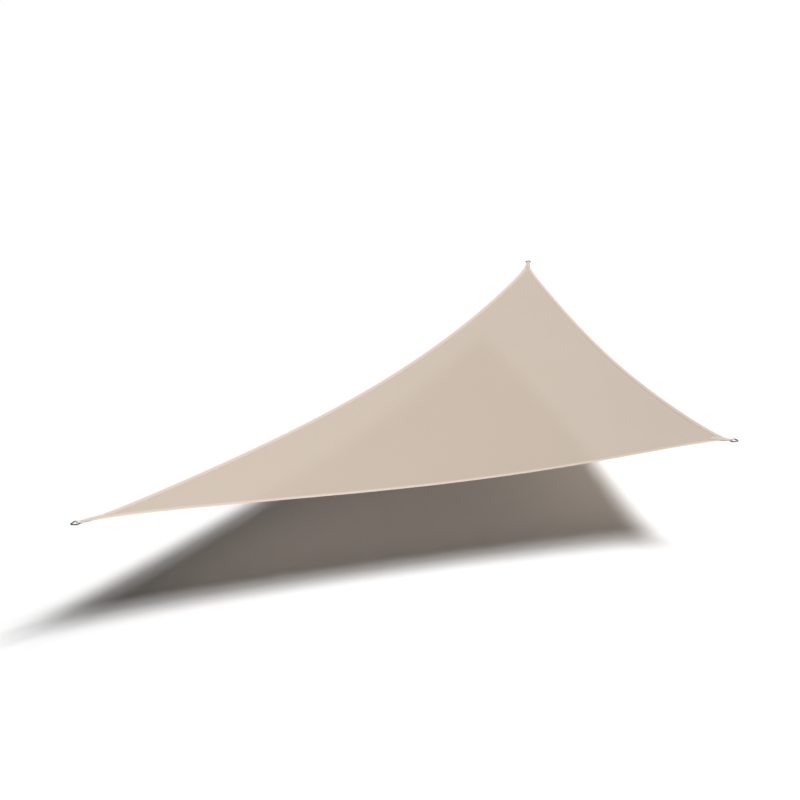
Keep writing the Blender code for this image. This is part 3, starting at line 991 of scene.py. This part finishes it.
# %% A helper that runs a tree on a path and keeps the plain mesh
def grow(name, points, edges, tree, values, numbers=None):
    """Runs a tree on loose edges and returns its result as a plain mesh piece."""
    seed = bpy.data.meshes.new(name + "_path")
    seed.from_pydata([tuple(p) for p in points], edges, [])
    for title, given_numbers in (numbers or {}).items():
        layer = seed.attributes.new(title, "FLOAT", "POINT")
        layer.data.foreach_set("value", given_numbers)
    holder = bpy.data.objects.new(name + "_path", seed)
    scene.collection.objects.link(holder)
    modifier = holder.modifiers.new("grow", "NODES")
    modifier.node_group = tree
    for item in tree.interface.items_tree:
        if item.in_out == "INPUT" and item.name in values:
            modifier[item.identifier] = values[item.name]
    ready = holder.evaluated_get(bpy.context.evaluated_depsgraph_get())
    mesh = bpy.data.meshes.new_from_object(ready)
    mesh.name = name
    # one material slot, and every face in it
    mesh.materials.clear()
    mesh.materials.append(values["Finish"])
    mesh.polygons.foreach_set("material_index", [0] * len(mesh.polygons))
    bpy.data.objects.remove(holder)
    piece = bpy.data.objects.new(name, mesh)
    scene.collection.objects.link(piece)
    mesh.calc_loop_triangles()
    print(name, len(mesh.loop_triangles), "triangles,", [m.name for m in mesh.materials])
    return piece


# %% The ring's centre line
def ring_path(bend_steps=12, straight_steps=16):
    """The bar's centre line: a triangle with rounded corners, its base on the Y axis."""
    sharp = [
        (Vector((0.0, -RING_BASE / 2)), RING_BASE_ROUND),
        (Vector((RING_HEIGHT, 0.0)), RING_TIP_ROUND),
        (Vector((0.0, RING_BASE / 2)), RING_BASE_ROUND),
    ]
    path = []
    for k, (tip, radius) in enumerate(sharp):
        to_last = (sharp[k - 1][0] - tip).normalized()
        to_next = (sharp[(k + 1) % 3][0] - tip).normalized()
        half = to_last.angle(to_next) / 2
        centre = tip + (to_last + to_next).normalized() * radius / math.sin(half)
        first = tip + to_last * radius / math.tan(half) - centre
        last = tip + to_next * radius / math.tan(half) - centre
        turn = first.angle_signed(last)
        bend = [centre + Matrix.Rotation(-turn * m / bend_steps, 2) @ first for m in range(bend_steps + 1)]
        if path:
            start = path[-1]
            path += [start.lerp(bend[0], m / straight_steps) for m in range(1, straight_steps)]
        path += bend
    return path


print("a ring takes", round(1000 * lengths_round(ring_path())[-1]), "mm of bar")

# %% Rings
WELD_SWELL = 0.05
WELD_HALF_WIDTH = 0.0022
WELD_ALONG = 0.42       # share of the way along one side of the ring


def make_ring(corner):
    """One ring, turned to hang in line with its corner's strap."""
    path = ring_path()
    left, right = Vector((0.0, RING_BASE / 2)), Vector((RING_HEIGHT, 0.0))
    weld = left.lerp(right, WELD_ALONG)
    swells = [WELD_SWELL * math.exp(-((p - weld).length / WELD_HALF_WIDTH) ** 2) for p in path]
    turn = ring_frame(corner)
    points = [turn @ p.to_3d() - HOOK for p in path]
    edges = [(k, (k + 1) % len(points)) for k in range(len(points))]
    values = {"Bar diameter": RING_BAR, "Sides": 20, "Finish": steel_finish}
    return grow("ring_bar_" + corner, points, edges, round_bar, values, {"swell": swells})


rings = {corner: make_ring(corner) for corner in CORNERS}

# %% [markdown]
# ## The stitches
#
# Two rows of lockstitch run along each tape, on both faces. Each strap is sewn down with a box
# and a cross, and with three short rows by its ring. Bump could draw the thread, but real points
# catch the light and stay in the exported mesh. A stitch goes down at both ends, so a small
# pebble, half sunk in the webbing, is enough. The tree cuts each seam line into stitch lengths,
# sets one pebble on every point, turns it along the seam, and varies it a little.

# %% A node tree that sews along lines
sewing, b, given, wanted = geometry_tree(
    "lockstitch_row",
    [("Stitch pitch", "NodeSocketFloat", 0.005), ("Stitch length", "NodeSocketFloat", 0.0042),
     ("Thread width", "NodeSocketFloat", 0.0009), ("Thread height", "NodeSocketFloat", 0.0009),
     ("Unevenness", "NodeSocketFloat", 0.10), ("Seed", "NodeSocketInt", 7),
     ("Finish", "NodeSocketMaterial", None)])
line = b.node("GeometryNodeMeshToCurve")
b.feed(line.inputs["Mesh"], given["Path"])
marks = b.node("GeometryNodeResampleCurve", mode="LENGTH")
b.feed(marks.inputs["Curve"], line.outputs[0])
b.feed(marks.inputs["Length"], given["Stitch pitch"])
pebble = b.node("GeometryNodeMeshIcoSphere")
pebble.inputs["Radius"].default_value = 0.5
pebble.inputs["Subdivisions"].default_value = 1
heading = b.node("FunctionNodeAlignRotationToVector", axis="X")
b.feed(heading.inputs["Vector"], b.node("GeometryNodeInputTangent").outputs[0])
vary = b.node("FunctionNodeRandomValue", data_type="FLOAT")
low, high, seed_socket = [s for s in vary.inputs if s.enabled and s.name in ("Min", "Max", "Seed")]
b.feed(low, b.math("SUBTRACT", 1.0, given["Unevenness"]))
b.feed(high, b.math("ADD", 1.0, given["Unevenness"]))
b.feed(seed_socket, given["Seed"])
varied = next(s for s in vary.outputs if s.enabled)
size = b.node("ShaderNodeCombineXYZ")
b.feed(size.inputs[0], b.math("MULTIPLY", given["Stitch length"], varied))
b.feed(size.inputs[1], given["Thread width"])
b.feed(size.inputs[2], b.math("MULTIPLY", given["Thread height"], varied))
sown = b.node("GeometryNodeInstanceOnPoints")
b.feed(sown.inputs["Points"], marks.outputs[0])
b.feed(sown.inputs["Instance"], pebble.outputs[0])
b.feed(sown.inputs["Rotation"], heading.outputs[0])
b.feed(sown.inputs["Scale"], size.outputs[0])
end_tree(b, sown.outputs[0], given["Finish"], wanted["Mesh"])
print("tree", sewing.name, "has", len(sewing.nodes), "nodes")

# %% Seams along the tapes
SEAM_START = 0.135
SEAM_POINT_PITCH = 0.05


def seams_of(edge):
    """Two rows on each face of one tape, clear of the straps, as points and edges."""
    long = edge_length(edge)
    count = round(long / SEAM_POINT_PITCH)
    first, last = SEAM_START / long, 1 - SEAM_START / long
    points, edges = [], []
    for depth in SEAM_DEPTHS:
        for face in (1, -1):
            base = len(points)
            for k in range(count + 1):
                t = first + (last - first) * k / count
                height = tape_height(depth, crown_at(min(t, 1 - t) * long))
                points.append(place(edge_point(edge, t, depth), face * height))
            edges += [(base + k, base + k + 1) for k in range(count)]
    return points, edges


sewing_values = {"Stitch pitch": 0.005, "Stitch length": 0.0042, "Thread width": 0.0009,
                 "Thread height": 0.0009, "Unevenness": 0.10, "Seed": 7, "Finish": thread_finish}
tape_stitches = {
    edge: grow("stitches_" + edge, *seams_of(edge), sewing, sewing_values) for edge in EDGES}

# %% Box and cross on each strap, and three short rows by the ring
BOX_NEAR, BOX_FAR, BOX_SIDE = 0.006, 0.069, 0.0122
TACK_ROWS = (-0.040, -0.0435, -0.047)
LINE_PARTS = 8
ROUNDING = 1e-9         # two lengths this close are equal


def strap_surface(corner, s, q, face):
    """A point on the outside of a strap, s in from the corner point and q across."""
    bar_offset = RING_PLACES[corner][0]
    upper = [Vector(p) for p in strap_line(bar_offset) if p[0] > -bar_offset and p[1] > 0]
    after = max(k for k, p in enumerate(upper) if p.x >= s - ROUNDING)
    a, c = upper[after], upper[min(after + 1, len(upper) - 1)]
    share = 0.0 if a.x == c.x else (a.x - s) / (a.x - c.x)
    height = a.y + (c.y - a.y) * share + STRAP_PLY / 2
    return strap_point(corner, s, q, face * height)


def strap_seams(corner):
    """The lines that sew one strap down on both faces, as points and edges."""
    box = [(BOX_NEAR, -BOX_SIDE), (BOX_FAR, -BOX_SIDE), (BOX_FAR, BOX_SIDE), (BOX_NEAR, BOX_SIDE)]
    lines = [(box[k], box[(k + 1) % 4]) for k in range(4)] + [(box[0], box[2]), (box[1], box[3])]
    for s in TACK_ROWS:
        lines.append(((s, -BOX_SIDE), (s, BOX_SIDE)))
    points, edges = [], []
    for face in (1, -1):
        for (s0, q0), (s1, q1) in lines:
            base = len(points)
            for k in range(LINE_PARTS + 1):
                u = k / LINE_PARTS
                points.append(strap_surface(corner, s0 + (s1 - s0) * u, q0 + (q1 - q0) * u, face))
            edges += [(base + k, base + k + 1) for k in range(LINE_PARTS)]
    return points, edges


strap_values = dict(sewing_values, **{"Stitch pitch": 0.0042, "Stitch length": 0.0036, "Seed": 11})
strap_stitches = {
    corner: grow("stitches_strap_" + corner, *strap_seams(corner), sewing, strap_values)
    for corner in CORNERS}

# %% [markdown]
# ## Handing the pieces to the part
#
# Every piece is told which body it moves with, and the solid that it stands for is hidden.

# %% Bodies, and the solids that the pieces replace
REPLACES = {sail.name: "sail_cloth"}
for edge, piece in tapes.items():
    REPLACES[piece.name] = "edge_tape_" + edge
for corner in CORNERS:
    REPLACES[straps[corner].name] = "corner_strap_" + corner
    REPLACES[rings[corner].name] = "ring_" + corner
sewn = [*tape_stitches.values(), *strap_stitches.values()]
pieces = [sail, *tapes.values(), *straps.values(), *rings.values(), *sewn]
for piece in pieces:
    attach(piece, "root")
    if piece.name in REPLACES:
        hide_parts(REPLACES[piece.name])

print(len(pieces), "pieces handed over")

# %% Compare the dressed part's box with the solids', and finish
new_low, new_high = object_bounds()
grown = [new - old for old, new in zip((*cad_low, *cad_high), (*new_low, *new_high))]
print("grown by (mm):", [round(x * 1000, 2) for x in grown])
